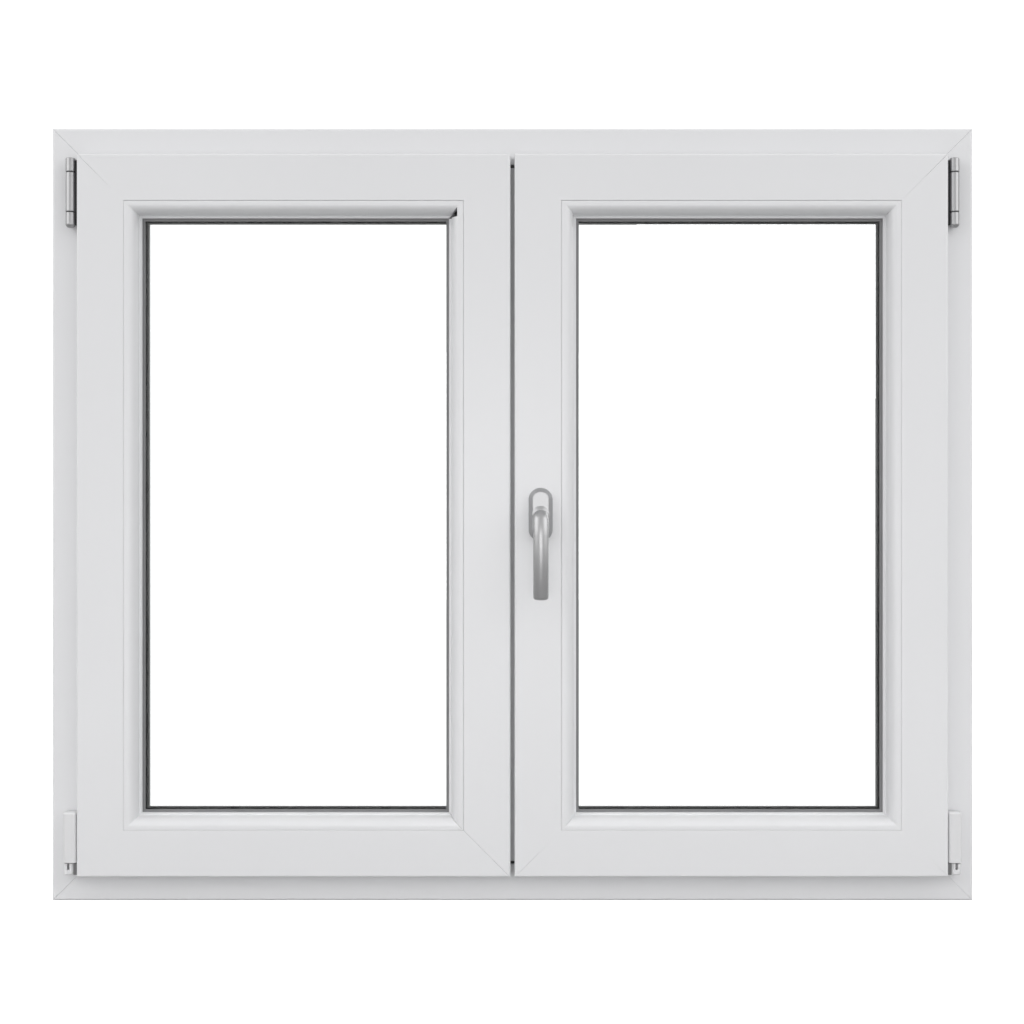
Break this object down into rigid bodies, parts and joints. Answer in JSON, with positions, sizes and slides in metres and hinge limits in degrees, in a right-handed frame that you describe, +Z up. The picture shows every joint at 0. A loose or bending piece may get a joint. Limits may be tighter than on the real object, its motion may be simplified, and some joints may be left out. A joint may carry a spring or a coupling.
{
  "type": "pvc window",
  "caption": "White uPVC casement window: side-hung double-glazed sashes in a welded frame, with a satin metal lever handle, exposed hinges and dark seals",
  "frame": {"origin": "middle of the frame's underside, half-way through its depth", "axes": "+X to the right seen from the room, +Y through the wall to the outside, +Z up"},
  "size_m": [1.18, 0.1452, 0.99],
  "materials": {
    "white_pvc": "smooth satin white extruded uPVC",
    "white_cover": "white moulded plastic",
    "dark_rubber": "dull dark grey extruded seal",
    "clear_glass": "clear float glass",
    "spacer_aluminium": "mill aluminium with dark sealant behind it",
    "satin_metal": "satin silver",
    "hinge_metal": "satin silver plated",
    "dark_steel": "dark passivated steel",
    "dark_plastic": "dark moulded plastic"
  },
  "bodies": {
    "window": {"astragal": "white_pvc", "astragal_end_caps": "dark_plastic", "astragal_gaskets": "dark_rubber", "drain_caps": "white_cover", "frame_head": "white_pvc", "frame_jamb_left": "white_pvc", "frame_jamb_right": "white_pvc", "frame_sill": "white_pvc", "frame_stop_gasket": "dark_rubber", "handle_rosette": "satin_metal", "left_bead_bottom": "white_pvc", "left_bead_hinge": "white_pvc", "left_bead_meeting": "white_pvc", "left_bead_top": "white_pvc", "left_bottom_hinge_bearing": "white_cover", "left_bottom_hinge_bracket": "dark_steel", "left_bottom_hinge_cover": "white_cover", "left_glass_panes": "clear_glass", "left_glass_spacer": "spacer_aluminium", "left_inner_glazing_gasket": "dark_rubber", "left_outer_glazing_gasket": "dark_rubber", "left_sash_bottom_rail": "white_pvc", "left_sash_hinge_stile": "white_pvc", "left_sash_meeting_stile": "white_pvc", "left_sash_top_rail": "white_pvc", "left_top_hinge_bearing": "hinge_metal", "left_top_hinge_knuckle": "hinge_metal", "left_top_hinge_leaf": "dark_steel", "overlap_gaskets": "dark_rubber", "right_bead_bottom": "white_pvc", "right_bead_hinge": "white_pvc", "right_bead_meeting": "white_pvc", "right_bead_top": "white_pvc", "right_bottom_hinge_bearing": "white_cover", "right_bottom_hinge_bracket": "dark_steel", "right_bottom_hinge_cover": "white_cover", "right_glass_panes": "clear_glass", "right_glass_spacer": "spacer_aluminium", "right_inner_glazing_gasket": "dark_rubber", "right_outer_glazing_gasket": "dark_rubber", "right_sash_bottom_rail": "white_pvc", "right_sash_hinge_stile": "white_pvc", "right_sash_meeting_stile": "white_pvc", "right_sash_top_rail": "white_pvc", "right_top_hinge_bearing": "hinge_metal", "right_top_hinge_knuckle": "hinge_metal", "right_top_hinge_leaf": "dark_steel"},
    "handle": {"handle_lever": "satin_metal"}
  },
  "joints": [
    {"name": "handle_turn", "type": "hinge", "parent": "window", "child": "handle", "pos_m": [0.0358, -0.066, 0.495], "axis": [0, -1, 0], "range_deg": [0, 180]}
  ]
}
